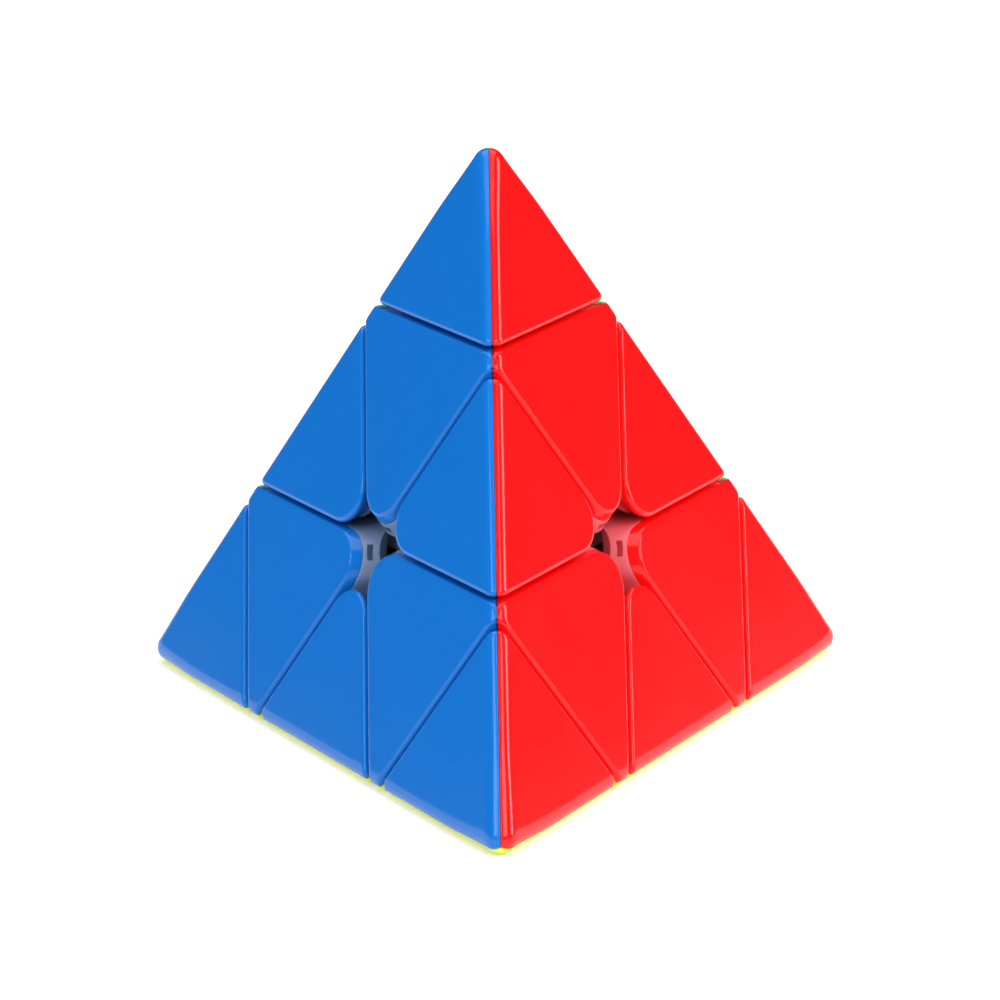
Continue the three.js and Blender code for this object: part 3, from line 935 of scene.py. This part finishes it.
# Painted bounce light and shade: near an opening the white is painted darker and in the colour of the
# shells around it, standing in for the light they reflect and the shade inside the opening.
def paintBounceAndShade(piece):
    count = len(piece.data.vertices)
    places = np.empty(3 * count, np.float32)
    piece.data.vertices.foreach_get("co", places)
    places = places.reshape(-1, 3) / metresPerMm
    colour = np.ones((count, 4)) * (*whiteFinish["white"], 1)
    near, far = whiteFinish["bleedReach"]
    for corner, shell in faceColours.items():
        fromMiddle = np.linalg.norm(places - (places @ corners[corner])[:, None] * corners[corner], axis=1)
        fromMiddle = np.where(places @ corners[corner] > 0, far, fromMiddle)
        share = 1 - np.clip((fromMiddle - near) / (far - near), 0, 1)[:, None]
        colour[:, :3] += (np.array(whiteFinish["paintedBounceShade"][shell]) - colour[:, :3]) * share
    layer = piece.data.color_attributes.new("paintedBounceShade", "FLOAT_COLOR", "POINT")
    layer.data.foreach_set("color", colour.astype(np.float32).ravel())


# Paints the bounce light and shade onto a white piece and gives it the painted white.
def finishWhite(piece, body):
    paintBounceAndShade(piece)
    piece.data.materials.append(whiteWithPaintedBounce)
    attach(piece, body)


for index, corner in enumerate(names):
    turn = turnTo(corner, names[(index + 1) % 4])
    for part, rings in (("body", axialBase), ("hub", hub)):
        piece = meshFromLoop(f"axial_{corner}_base_{part}", rings, turn)
        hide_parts(f"axial_{corner}_base")
        finishWhite(piece, f"axial_{corner}")
    for other in names[index + 1:]:
        edge = f"edge_{corner}_{other}"
        finishWhite(meshFromRings(f"{edge}_base_body", *edgeBase, turnTo(corner, other)), edge)
print("bases placed")

# The pieces that keep their CAD mesh.
for node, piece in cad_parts.items():
    if "shell" in node:
        continue
    piece.data.materials.clear()
    piece.data.materials.append(steel if node.startswith(("tension_screw", "spring")) else white)
print("carried-over pieces finished")


# Floor, air and camera, in metres but for the camera's place and lens.
studio = {
    "floorDrop": 0.0001,
    "floorHalf": 6.0,
    "floorColour": (0.90, 0.905, 0.91),
    "floorRoughness": 0.9,
    "floorSpecular": 0.1,
    "floorGlow": 0.2,
    "airColour": (0.95, 0.97, 1.0),
    "airLight": 0.06,
    "cameraPlace": (-2.16, -599.3, 184.1),
    "cameraRight": (0.99986, -0.00903, -0.01403),
    "cameraForward": (0.00475, 0.96024, -0.27912),
    "focalLength": 167.04,
    "sensorWidth": 36.0,
}


def makeFloor():
    half, level = studio["floorHalf"], cadBox[0].z - studio["floorDrop"]
    mesh = bpy.data.meshes.new("paperFloor")
    points = [(-half, -half, level), (half, -half, level), (half, half, level), (-half, half, level)]
    mesh.from_pydata(points, [], [(0, 1, 2, 3)])
    floor = bpy.data.objects.new("paperFloor", mesh)
    bpy.context.scene.collection.objects.link(floor)
    tree = Tree("whitePaper")
    mesh.materials.append(tree.show(tree.add("ShaderNodeBsdfPrincipled", {}, {
        "Base Color": (*studio["floorColour"], 1),
        "Roughness": studio["floorRoughness"],
        "Specular IOR Level": studio["floorSpecular"],
        "Emission Color": (1, 1, 1, 1),
        "Emission Strength": studio["floorGlow"],
    })))


lights = {
    "overhead": {"place": (0.0, 0.1, 1.2), "size": (1.6, 1.6), "power": 19.0},
    "frontLeft": {"place": (-0.8, -0.95, 0.8), "size": (0.7, 0.7), "power": 7.5},
    "frontRight": {"place": (0.8, -0.95, 0.8), "size": (0.7, 0.7), "power": 7.5},
    "nearLeftStrip": {"place": (-0.24, -1.25, 0.52), "size": (0.05, 0.6), "power": 0.9},
    "nearRightStrip": {"place": (0.30, -1.25, 0.52), "size": (0.05, 0.6), "power": 0.6},
    "rightStrip": {"place": (0.9, 0.02, 0.38), "size": (0.22, 0.7), "power": 4.0},
}


def makeLights():
    for name, light in lights.items():
        data = bpy.data.lights.new(f"{name}Softbox", "AREA")
        data.shape = "RECTANGLE"
        data.size, data.size_y = light["size"]
        data.energy = light["power"]
        lamp = bpy.data.objects.new(f"{name}Softbox", data)
        lamp.location = light["place"]
        lamp.rotation_euler = (-Vector(light["place"])).to_track_quat("-Z", "Y").to_euler()
        bpy.context.scene.collection.objects.link(lamp)
    world = bpy.data.worlds.new("studioAir")
    bpy.context.scene.world = world
    world.use_nodes = True
    background = world.node_tree.nodes["Background"]
    background.inputs["Color"].default_value = (*studio["airColour"], 1)
    background.inputs["Strength"].default_value = studio["airLight"]


def makeCamera():
    data = bpy.data.cameras.new("camera")
    data.lens, data.sensor_width = studio["focalLength"], studio["sensorWidth"]
    camera = bpy.data.objects.new("camera", data)
    forward = Vector(studio["cameraForward"]).normalized()
    right = Vector(studio["cameraRight"])
    right = (right - forward * right.dot(forward)).normalized()
    up = right.cross(forward)
    rotation = Matrix((right, up, -forward)).transposed()
    place = Vector(studio["cameraPlace"]) * metresPerMm
    camera.matrix_world = Matrix.Translation(place) @ rotation.to_4x4()
    bpy.context.scene.collection.objects.link(camera)
    bpy.context.scene.camera = camera


makeFloor()
makeLights()
makeCamera()
bpy.context.scene.view_settings.view_transform = "Standard"
print("studio made")
